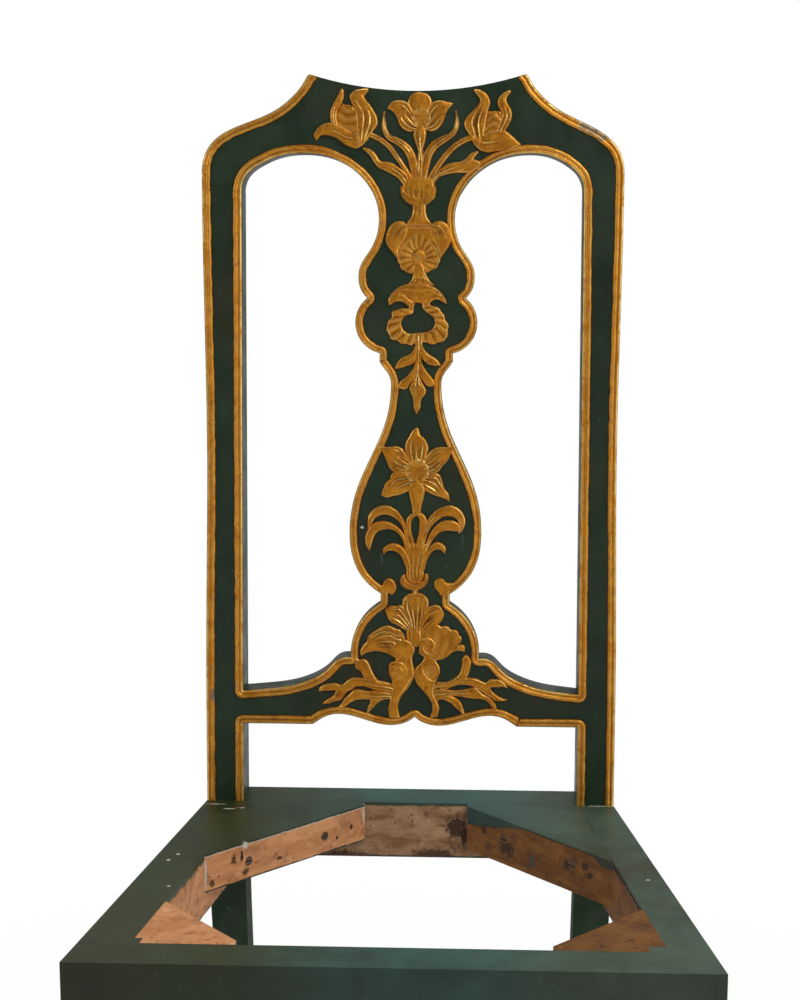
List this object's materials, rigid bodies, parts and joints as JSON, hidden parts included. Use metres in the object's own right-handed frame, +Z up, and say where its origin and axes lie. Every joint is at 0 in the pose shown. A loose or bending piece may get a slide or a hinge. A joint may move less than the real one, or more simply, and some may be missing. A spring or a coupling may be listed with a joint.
{
  "type": "side chair",
  "caption": "Tall-backed joined side chair frame with yoke crest, lobed vase splat, shaped cross rail, splayed seat frame with corner blocks and cabriole legs, painted green with gilt carving.",
  "frame": {"origin": "on the floor under the middle of the chair's box; the splayed seat frame is symmetric about x = 0", "axes": "+Z up, +Y to the back of the chair, +X to the sitter's left; the height is the longest extent"},
  "size_m": [0.564, 0.5052, 1.1323],
  "materials": {
    "painted_wood": "dark green oil paint, satin, worn at the edges",
    "rail_paint": "greyed green paint, rubbed and dusty",
    "gilding": "raised carving in gold leaf over bole, rubbed",
    "bare_wood": "bare, stained and worn",
    "screw_iron": "old dark iron, slotted"
  },
  "bodies": {
    "root": {"corner_block_screws": "screw_iron", "crest_rail": "painted_wood", "front_seat_rail": "rail_paint", "left_back_post": "painted_wood", "left_front_corner_block": "bare_wood", "left_front_leg": "rail_paint", "left_leg_front_bracket": "rail_paint", "left_leg_side_bracket": "rail_paint", "left_rear_corner_block": "bare_wood", "left_side_rail": "rail_paint", "lower_back_rail": "painted_wood", "rear_seat_rail": "rail_paint", "right_back_post": "painted_wood", "right_front_corner_block": "bare_wood", "right_front_leg": "rail_paint", "right_leg_front_bracket": "rail_paint", "right_leg_side_bracket": "rail_paint", "right_rear_corner_block": "bare_wood", "right_side_rail": "rail_paint", "splat": "painted_wood"}
  },
  "joints": []
}
